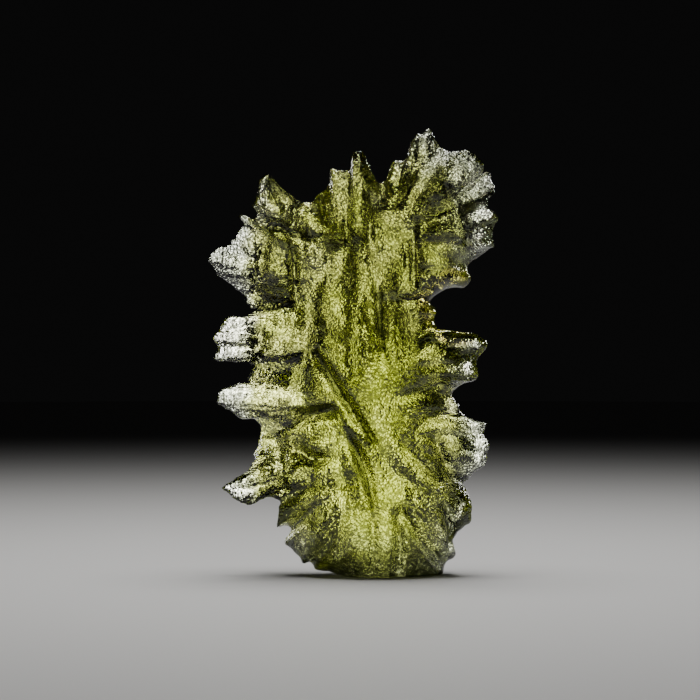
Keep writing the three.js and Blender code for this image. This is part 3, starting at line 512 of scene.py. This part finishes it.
def bodySurface():
    # a ray at rim place t runs from the spine (s = 0) through its root (s = coreShare) to the rim
    # (s = 1). Both faces stand off a middle sheet by half the thickness, which is the sum of round
    # swellings plus the fin's own, plus ribs, relief, bosses and crests, less hollows and furrows, all
    # times the root of 1 - s^closing
    rim, bend, lean, rib, along = rimTable()
    count = len(rim)
    rays = count * stone["raysPerPoint"]
    place = stone["footPoint"] + np.arange(rays) / stone["raysPerPoint"]
    twin = 2 * stone["footPoint"] - place
    rimLine = between(rim, place)
    bendLine = between(bend, place)
    heart = np.array(stone["heart"])
    spine = heart + stone["spineShare"] * ((bendLine + between(bend, twin)) / 2 - heart)
    arc = np.interp(place % count, np.arange(count + 1), along)

    # the rim goes in and out a little, square to itself
    ahead = np.roll(rimLine, -1, 0) - np.roll(rimLine, 1, 0)
    square = np.stack([-ahead[:, 1], ahead[:, 0]], 1) / np.linalg.norm(ahead, axis=1)[:, None]
    flat = np.zeros(rays)
    rag = skin["rag"][1] * noise(arc / skin["rag"][0], flat, turn=turns["rag"])
    rag = rag + skin["fineRag"][1] * noise(arc / skin["fineRag"][0], flat, turn=turns["fineRag"])
    rimLine = rimLine + square * (rag * offChip(*rimLine.T))[:, None]

    ring = np.linspace(0, 1, stone["ringsPerFace"] + 1)
    ring = 1 - (1 - ring) ** stone["ringEase"]
    core = np.clip(ring / stone["coreShare"], 0, 1)[:, None]
    fin = np.clip((ring - stone["coreShare"]) / (1 - stone["coreShare"]), 0, 1)[:, None]
    x = spine[:, 0] + (bendLine - spine)[:, 0] * core + (rimLine - bendLine)[:, 0] * fin
    z = spine[:, 1] + (bendLine - spine)[:, 1] * core + (rimLine - bendLine)[:, 1] * fin
    length = fin * np.linalg.norm(rimLine - bendLine, axis=1)
    across = arc + 0 * length
    s = ring[:, None] + 0 * x

    depth = np.zeros(x.shape)
    for sx, sz, halfX, halfZ, most in swellings:
        depth += most * bell((x - sx) / halfX) * bell((z - sz) / halfZ)
    thickness = depth + stone["rootThickness"] + (stone["tipThickness"] - stone["rootThickness"]) * fin
    close = np.sqrt(np.clip(1 - s ** stone["closing"], 0, 1))
    gain, rise, fall = stone["ribCurve"]
    ribs = gain * stone["ribHeight"] * between(rib, place) * fin**rise * (1 - fin) ** fall
    bowShare = np.clip(z - stone["bowStart"], 0, None) / (stone["height"] - stone["bowStart"])
    sheet = between(lean, place) * s ** stone["leanEase"] + stone["bow"] * bowShare**2

    inFin = smoothStep(0.0, stone["finBlend"], fin) + 0 * x
    warp, warpAcross, warpAlong = skin["warp"]
    faces = []
    for side, furrows, crests in ((-1, frontFurrows, frontCrests), (1, backFurrows, backCrests)):
        turn = turns["face"] + side
        warpX = warp * noise(x / warpAcross, z / warpAlong, turn=turn)
        warpA = warp * noise(across / warpAcross, length / warpAlong, turn=turn)
        relief = np.zeros(x.shape)
        parts = (("fin", inFin, across + warpA, length), ("core", 1 - inFin, x + warpX, z))
        for part, mix, a, b in parts:
            for kind in ("Scallop", "Facet", "Line"):
                wide, long, deep = skin[part + kind]
                near = cells(a / wide, b / long, turn=turn + len(part + kind))
                relief += deep * mix * cupped(near, skin["cellRise"])
        relief *= offChip(x, z)
        share = stone["frontShare"] if side < 0 else 1 - stone["frontShare"]
        body = thickness * share + ribs + relief
        if side < 0:
            hollow = skin["hollowDepth"] * bandMost(hollows, x, z)
            body += skin["bossHeight"] * bandMost(bosses, x, z) - hollow
        body += curveSum(crests, x, z) - curveSum(furrows, x, z)
        faces.append(sheet + side * np.maximum(body, stone["leastShare"] * thickness * share) * close)

    front = np.stack([x, faces[0], z], -1)
    back = np.stack([x, faces[1], z], -1)[::-1][1:]
    return np.concatenate([front, back])


def flakeSurface(root, tip, wide, thick, roll, turn):
    # an oval section runs from root to tip. Its size is the root of 1 - |2v - 1|^3, times
    # 1 - taper v, and its edge goes in and out by a wave and by noise
    root, tip = np.array(root), np.array(tip)
    length = tip - root
    axis = length / np.linalg.norm(length)
    side = np.cross([0, 1, 0], length)
    side = side / np.linalg.norm(side)
    side = side * math.cos(roll) + np.cross(axis, side) * math.sin(roll)
    up = np.cross(axis, side)
    u = np.linspace(0, 2 * math.pi, flakeShape["sides"], endpoint=False)[None]
    v = np.linspace(0, 1, flakeShape["rings"])[:, None]
    swell = np.sqrt(np.clip(1 - np.abs(2 * v - 1) ** 3, 0, 1)) * (1 - flakeShape["taper"] * v)
    size, along, shift = flakeShape["wave"]
    rag = 1 + size * np.sin(along * v + shift * roll) * v * (1 + np.cos(u))
    size, along, around = flakeShape["rag"]
    rag = rag + size * v * noise(v * along + 0 * u, np.cos(u) * around + 0 * v, turn=turn)
    size, along, around = flakeShape["push"]
    push = size * noise(v * along + 0 * u, np.cos(u) * around + 0 * v, turn=turn + 2) * v
    a = (wide * swell * rag * np.cos(u))[..., None] * side
    b = (thick * swell * np.sin(u) + push)[..., None] * up
    return root + (v + 0 * u)[..., None] * length + a + b


def gridFaces(rows, columns, first):
    # quads of a grid whose columns close on themselves
    row = np.arange(rows - 1)[:, None] * columns
    col = np.arange(columns)[None]
    nextCol = (col + 1) % columns
    quads = np.stack([row + col, row + nextCol, row + columns + nextCol, row + columns + col], -1)
    return quads.reshape(-1, 4) + first


def meshOf(name, points, quads):
    # a mesh of four-sided faces, each given by the numbers of its points
    mesh = bpy.data.meshes.new(name)
    mesh.vertices.add(len(points))
    mesh.vertices.foreach_set("co", np.asarray(points, np.float32).ravel())
    mesh.loops.add(quads.size)
    mesh.loops.foreach_set("vertex_index", quads.astype(np.int32).ravel())
    mesh.polygons.add(len(quads))
    mesh.polygons.foreach_set("loop_start", np.arange(0, quads.size, 4, dtype=np.int32))
    mesh.update(calc_edges=True)
    mesh.validate()
    return mesh


def pointsOf(mesh):
    # one row of x, y, z for each point
    co = np.empty(len(mesh.vertices) * 3, np.float32)
    mesh.vertices.foreach_get("co", co)
    return co.reshape(-1, 3).astype(float)


def normalsOf(mesh):
    # the unit normal at each point
    normal = np.empty(len(mesh.vertices) * 3, np.float32)
    mesh.vertex_normals.foreach_get("vector", normal)
    return normal.reshape(-1, 3).astype(float)


def remeshed(mesh, voxel):
    # one closed skin round everything in the mesh, with faces one voxel wide, softened once: each
    # point goes softness of the way to the mean of its neighbours
    shape = bpy.data.objects.new("shape", mesh)
    bpy.context.collection.objects.link(shape)
    remesh = shape.modifiers.new("skin", "REMESH")
    remesh.mode = "VOXEL"
    remesh.voxel_size = voxel
    smooth = shape.modifiers.new("soften", "SMOOTH")
    smooth.factor = stone["softness"]
    smooth.iterations = 1
    graph = bpy.context.evaluated_depsgraph_get()
    made = bpy.data.meshes.new_from_object(shape.evaluated_get(graph))
    bpy.data.objects.remove(shape)
    return made


def markForms(mesh, x, y, z):
    # three numbers at each point, from 0 to 1: how deep it lies in the hollows, which take painted shade,
    # how high on the bosses, which take painted highlights, and how far out it lies, by the fourth root of
    # u^4 + w^4 across and along the stone. The front's hollows and bosses come from its bands, shifted a
    # little by noise, the back's from its curves
    u = (x - stone["yellowPart"][0]) / stone["yellowPart"][2]
    w = (z - stone["yellowPart"][1]) / stone["yellowPart"][3]
    size, length = marks["edgeNoise"]
    out = (u**4 + w**4) ** 0.25 + size * noise(x / length, z / length, turn=turns["edge"])
    edge = smoothStep(*marks["edgeFade"], out)
    size, length, shift = marks["bandNoise"]
    x = x + size * noise(x / length, z / length, turn=turns["bandX"])
    z = z + size * noise(x / length + shift, z / length, turn=turns["bandZ"])
    front = smoothStep(marks["frontFade"], -marks["frontFade"], y)
    # painted shade goes in the hollows and painted highlights on the bosses, front and back
    hollow = front * bandMost(hollows, x, z) + (1 - front) * np.clip(curveSum(backFurrows, x, z), 0, 1)
    bossHighlight = front * bandMost(bosses, x, z) + (1 - front) * np.clip(curveSum(backCrests, x, z), 0, 1)
    shadeNoise = noise(x / marks["shadeNoise"], y / marks["shadeNoise"], z / marks["shadeNoise"], turn=turns["shadeNoise"])
    gain, change = marks["hollowGain"]
    hollow = np.clip(hollow ** marks["hollowPower"] * (gain + change * shadeNoise), 0, 1)
    for name, values in (("hollow", hollow), ("bossHighlight", bossHighlight), ("edge", edge)):
        layer = mesh.attributes.new(name, "FLOAT", "POINT")
        layer.data.foreach_set("value", values.astype(np.float32))


def makeStone():
    # the body and its flakes under one skin, then pits, marks, and the eases that keep it in its box
    grid = bodySurface()
    points = [grid.reshape(-1, 3)]
    quads = [gridFaces(grid.shape[0], grid.shape[1], 0)]
    first = len(points[0])
    for turn, (root, tip, wide, thick, roll) in enumerate(flakes.values()):
        flake = flakeSurface(root, tip, wide, thick, roll, turn)
        quads.append(gridFaces(flake.shape[0], flake.shape[1], first)[:, ::-1])
        points.append(flake.reshape(-1, 3))
        first += len(points[-1])
    points = np.concatenate(points)
    points[:, 2] = np.maximum(points[:, 2], 0)
    mesh = remeshed(meshOf("rough", points, np.concatenate(quads)), stone["voxel"])
    print("stone remeshed:", len(mesh.polygons), "faces")

    # pits along the normals, cupped round scattered points
    co = pointsOf(mesh)
    normal = normalsOf(mesh)
    push = np.zeros(len(co))
    for turn, name in enumerate(("pit", "smallPit")):
        size, deep = skin[name]
        near = cells(*(co / size).T, turn=turns["pit"] + turn)
        push += deep * cupped(near, skin["pitRise"])
    co = co + normal * (push * offChip(co[:, 0], co[:, 2]))[:, None]
    markForms(mesh, *co.T)
    co[:, :2] += stone["frameShift"]

    # what stands out past the greatest depth is pressed in: room (1 - e^(-over / room)) is left of it
    room = stone["depthRoom"]
    over = np.clip(np.abs(co[:, 1]) - stone["depthEase"], 0, None)
    co[:, 1] -= np.sign(co[:, 1]) * (over - room * (1 - np.exp(-over / room)))
    co[:, 2] -= stone["topEase"] * smoothStep(*stone["topFade"], co[:, 2])
    co[co[:, 2] < stone["footFlat"], 2] = 0
    mesh.vertices.foreach_set("co", (co * mm).astype(np.float32).ravel())
    mesh.polygons.foreach_set("use_smooth", np.ones(len(mesh.polygons), bool))
    mesh.update()
    piece = bpy.data.objects.new("moldavite_glass", mesh)
    bpy.context.collection.objects.link(piece)
    return piece


piece = makeStone()
print("stone built")

# The glass: absorption per metre of red, green and blue, the skin's finish and tints, and its
# painted shade, highlights and glow
glass = {
    "ior": 1.49,
    "absorb": [120, 108, 280],
    "density": 400,
    "clear": (0.4, 0.41, 0.16, 1),     # tints of the skin: its own colours first, then painted shade, glow and highlights
    "warm": (0.24, 0.26, 0.06, 1),
    "rim": (0.46, 0.48, 0.43, 1),
    # painted shade: black in the hollows
    "hollow": (0, 0, 0, 1),
    # painted shade on the ridges between the pits
    "pitRidgeShade": (0.008, 0.009, 0.003, 1),
    # painted golden glow on the smooth chip
    "chipGlow": (1, 0.8, 0.32, 1),
    # painted highlights on the bosses, whiter on those near the rim
    "bossHighlight": (1, 1, 0.7, 1),
    "rimHighlight": (1, 1, 0.97, 1),
    "roughLow": 0.02,
    "roughHigh": 0.09,
    "chipRough": 0.04,
    "pits": 4800,                      # pits to the metre
    "pitSoftness": 0.15,
    "grain": 2400,                     # noise to the metre that roughens the pits
    "grainDetail": 1,
    "grainShare": 0.5,
    "patches": 420,
    "patchDetail": 4,
    "roughRange": [0.35, 0.65],        # parts of the patch noise that roughness and mottling span
    "mottleRange": [0.4, 0.6],
    "shadeRange": [0.46, 0.86],        # heights in the pits between which the painted shade comes in
    "pitDepth": 0.00006,
    "pitShade": 0.93,                  # share of painted shade that the ridges between the pits get
}


def nodeOf(tree, kind, place, **values):
    # a new node, placed, with its settings
    node = tree.nodes.new(kind)
    node.location = place
    for name, value in values.items():
        setattr(node, name, value)
    return node


def mixColor(tree, place, factor, a, b):
    # a + factor (b - a): each is a colour, a number or another node's output
    mix = nodeOf(tree, "ShaderNodeMix", place, data_type="RGBA")
    for socket, value in ((mix.inputs[0], factor), (mix.inputs[6], a), (mix.inputs[7], b)):
        if isinstance(value, bpy.types.NodeSocket):
            tree.links.new(value, socket)
        else:
            socket.default_value = value
    return mix.outputs[2]


def rangeOf(tree, place, value, fromLow, fromHigh, toLow=0.0, toHigh=1.0):
    # a number taken from one range to another along 3 t^2 - 2 t^3
    node = nodeOf(tree, "ShaderNodeMapRange", place, interpolation_type="SMOOTHSTEP")
    names = ("From Min", "From Max", "To Min", "To Max")
    for name, number in zip(names, (fromLow, fromHigh, toLow, toHigh)):
        node.inputs[name].default_value = number
    tree.links.new(value, node.inputs["Value"])
    return node.outputs["Result"]


def glassMaterial():
    # clear glass whose volume takes absorb of each colour per metre, 1 - absorb / density in its colour
    material = bpy.data.materials.new("green natural glass")
    material.use_nodes = True
    tree = material.node_tree
    tree.nodes.clear()
    link = tree.links.new
    out = nodeOf(tree, "ShaderNodeOutputMaterial", (900, 0))
    shader = nodeOf(tree, "ShaderNodeBsdfPrincipled", (600, 0))
    shader.inputs["Transmission Weight"].default_value = 1.0
    shader.inputs["IOR"].default_value = glass["ior"]
    link(shader.outputs["BSDF"], out.inputs["Surface"])
    volume = nodeOf(tree, "ShaderNodeVolumeAbsorption", (600, -400))
    volume.inputs["Density"].default_value = glass["density"]
    volume.inputs["Color"].default_value = [1 - a / glass["density"] for a in glass["absorb"]] + [1]
    link(volume.outputs["Volume"], out.inputs["Volume"])

    # pits: the distance to the nearest point, plus grainShare of a noise
    place = nodeOf(tree, "ShaderNodeTexCoord", (-900, 0))
    pits = nodeOf(tree, "ShaderNodeTexVoronoi", (-650, -200), feature="SMOOTH_F1")
    pits.inputs["Scale"].default_value = glass["pits"]
    pits.inputs["Smoothness"].default_value = glass["pitSoftness"]
    link(place.outputs["Object"], pits.inputs["Vector"])
    grain = nodeOf(tree, "ShaderNodeTexNoise", (-650, -450))
    grain.inputs["Scale"].default_value = glass["grain"]
    grain.inputs["Detail"].default_value = glass["grainDetail"]
    link(place.outputs["Object"], grain.inputs["Vector"])
    both = nodeOf(tree, "ShaderNodeMath", (-400, -300), operation="MULTIPLY_ADD")
    both.inputs[1].default_value = glass["grainShare"]
    link(grain.outputs["Fac"], both.inputs[0])
    link(pits.outputs["Distance"], both.inputs[2])

    # the chip is smooth: everything fine fades within its reach
    gap = nodeOf(tree, "ShaderNodeVectorMath", (-650, 250), operation="DISTANCE")
    gap.inputs[1].default_value = [c * mm for c in skin["chip"]]
    link(place.outputs["Object"], gap.inputs[0])
    reach = skin["chipReach"] * mm
    away = rangeOf(tree, (-400, 250), gap.outputs["Value"], *[fade * reach for fade in skin["chipFade"]])

    bump = nodeOf(tree, "ShaderNodeBump", (250, -250))
    bump.inputs["Distance"].default_value = glass["pitDepth"]
    link(both.outputs["Value"], bump.inputs["Height"])
    link(away, bump.inputs["Strength"])
    link(bump.outputs["Normal"], shader.inputs["Normal"])

    patch = nodeOf(tree, "ShaderNodeTexNoise", (-650, 0))
    patch.inputs["Scale"].default_value = glass["patches"]
    patch.inputs["Detail"].default_value = glass["patchDetail"]
    link(place.outputs["Object"], patch.inputs["Vector"])
    roughEnds = glass["roughLow"], glass["roughHigh"]
    fine = rangeOf(tree, (-400, 0), patch.outputs["Fac"], *glass["roughRange"], *roughEnds)
    rough = nodeOf(tree, "ShaderNodeMix", (250, 50))
    rough.inputs["A"].default_value = glass["chipRough"]
    link(away, rough.inputs["Factor"])
    link(fine, rough.inputs["B"])
    link(rough.outputs["Result"], shader.inputs["Roughness"])

    # the skin's tint: warm patches, painted highlights on the bosses, painted shade in the hollows and
    # on the ridges between the pits, and a painted golden glow on the chip
    hollow = nodeOf(tree, "ShaderNodeAttribute", (-650, 650), attribute_name="hollow")
    bossHighlight = nodeOf(tree, "ShaderNodeAttribute", (-650, 850), attribute_name="bossHighlight")
    edge = nodeOf(tree, "ShaderNodeAttribute", (-650, 1050), attribute_name="edge")
    mottle = rangeOf(tree, (-400, 450), patch.outputs["Fac"], *glass["mottleRange"])
    tint = mixColor(tree, (-150, 450), mottle, glass["clear"], glass["warm"])
    tint = mixColor(tree, (-80, 500), edge.outputs["Fac"], tint, glass["rim"])
    # painted highlights on the bosses, whiter near the rim
    bright = mixColor(tree, (-80, 700), edge.outputs["Fac"], glass["bossHighlight"], glass["rimHighlight"])
    tint = mixColor(tree, (0, 550), bossHighlight.outputs["Fac"], tint, bright)
    # painted shade in the hollows
    tint = mixColor(tree, (150, 650), hollow.outputs["Fac"], tint, glass["hollow"])
    # painted shade on the ridges between the pits, none on the chip
    shadeEnds = 0.0, glass["pitShade"]
    shade = rangeOf(tree, (-150, 250), both.outputs["Value"], *glass["shadeRange"], *shadeEnds)
    ridgeShade = nodeOf(tree, "ShaderNodeMath", (0, 250), operation="MULTIPLY")
    link(shade, ridgeShade.inputs[0])
    link(away, ridgeShade.inputs[1])
    tint = mixColor(tree, (250, 450), ridgeShade.outputs["Value"], tint, glass["pitRidgeShade"])
    # painted golden glow on the smooth chip
    tint = mixColor(tree, (400, 450), away, glass["chipGlow"], tint)
    link(tint, shader.inputs["Base Color"])
    return material


piece.data.materials.append(glassMaterial())
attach(piece, "root")
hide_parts("moldavite")
print("glass made")

# The studio: lengths in metres, light in watts
studio = {
    "floorRadius": 0.4,
    "floorMiddle": 0.02,           # part of the radius, before squaring, where the first ring lies
    "floorSides": 96,
    "floorRings": 12,
    "floorDrop": 0.00003,
    "floorRough": 0.6,
    "floorColor": (0.72, 0.71, 0.69, 1),
    "world": (0.004, 0.004, 0.004, 1),
    "target": (0, 0, 0.018),
    "lights": {                    # place, width, height, power, spread in degrees, kind
        "back": [(0.001, 0.05, 0.015), 0.023, 0.034, 0.0042, 70, "glow"],
        "low back": [(0, 0.022, 0.001), 0.044, 0.02, 0.024, 90, "glow"],
        "front": [(0.001, -0.05, 0.016), 0.034, 0.04, 0.004, 70, "glow"],
        "left": [(-0.05, 0, 0.016), 0.03, 0.04, 0.007, 70, "glow"],
        "right": [(0.05, 0, 0.016), 0.03, 0.04, 0.007, 70, "glow"],
        "back left": [(-0.13, 0.16, 0.06), 0.05, 0.05, 0.0024, 24, "sheen"],
        "back right": [(0.13, 0.16, 0.06), 0.05, 0.05, 0.0024, 24, "sheen"],
        "under": [(0, 0.004, -0.00001), 0.04, 0.04, 0.022, 180, "glow"],
        "back top": [(0, 0.14, 0.15), 0.06, 0.06, 0.003, 26, "sheen"],
        "top": [(0, 0.02, 0.17), 0.12, 0.12, 0.12, 110, "floor"],
    },
    "lens": 150,
    "sensor": 36,
    "nearest": 0.01,               # nothing nearer to the camera is seen
    "bounces": 16,
    "frameHeight": 0.056,          # height of the photograph's view at the stone
    "aim": (-0.00028, 0, 0.018),
    "elevation": 1.0,
}


def makeFloor():
    # a round sheet just under the stone, its rings at radius times u squared
    sides = studio["floorSides"]
    rings = studio["floorRings"]
    angle = np.linspace(0, 2 * math.pi, sides, endpoint=False)[None]
    radius = studio["floorRadius"] * np.linspace(studio["floorMiddle"], 1, rings)[:, None] ** 2
    ring = np.stack([radius * np.cos(angle), radius * np.sin(angle), 0 * angle + 0 * radius], -1)
    ring[..., 2] -= studio["floorDrop"]
    mesh = meshOf("floor", ring.reshape(-1, 3), gridFaces(rings, sides, 0))
    floor = bpy.data.objects.new("floor", mesh)
    bpy.context.collection.objects.link(floor)
    material = bpy.data.materials.new("pale floor")
    material.use_nodes = True
    shader = material.node_tree.nodes["Principled BSDF"]
    shader.inputs["Base Color"].default_value = studio["floorColor"]
    shader.inputs["Roughness"].default_value = studio["floorRough"]
    mesh.materials.append(material)
    return floor


def aimAt(thing, target):
    # turns a light or the camera so that its -Z points at the target, with its Y up
    thing.rotation_euler = (Vector(target) - thing.location).to_track_quat("-Z", "Y").to_euler()


def makeLights(floor):
    # a glow light shines through the stone and isn't mirrored by its skin, a sheen light is, and a
    # floor light leaves the stone alone
    stoneLight = bpy.data.collections.new("stone light")
    stoneLight.objects.link(piece)
    floorLight = bpy.data.collections.new("floor light")
    floorLight.objects.link(floor)
    for name, (place, width, height, power, spread, kind) in studio["lights"].items():
        data = bpy.data.lights.new(name, "AREA")
        data.shape = "ELLIPSE"
        data.size = width
        data.size_y = height
        data.energy = power
        data.spread = math.radians(spread)
        light = bpy.data.objects.new(name, data)
        light.location = place
        light.visible_camera = False
        light.visible_glossy = kind != "glow"
        light.light_linking.receiver_collection = floorLight if kind == "floor" else stoneLight
        bpy.context.collection.objects.link(light)
        aimAt(light, studio["target"])
    world = bpy.data.worlds.new("studio")
    world.use_nodes = True
    world.node_tree.nodes["Background"].inputs["Color"].default_value = studio["world"]
    bpy.context.scene.world = world


def makeCamera():
    # it stands off the aim by the view's height times lens over sensor, raised by the elevation
    data = bpy.data.cameras.new("camera")
    data.lens = studio["lens"]
    data.sensor_width = studio["sensor"]
    data.sensor_fit = "HORIZONTAL"
    data.clip_start = studio["nearest"]
    camera = bpy.data.objects.new("camera", data)
    away = studio["frameHeight"] * studio["lens"] / studio["sensor"]
    tilt = math.radians(studio["elevation"])
    aim = Vector(studio["aim"])
    camera.location = aim + Vector((0, -math.cos(tilt), math.sin(tilt))) * away
    bpy.context.collection.objects.link(camera)
    aimAt(camera, aim)
    bpy.context.scene.camera = camera


makeLights(makeFloor())
makeCamera()
cycles = bpy.context.scene.cycles
cycles.max_bounces = studio["bounces"]
cycles.transmission_bounces = studio["bounces"]
print("studio made")
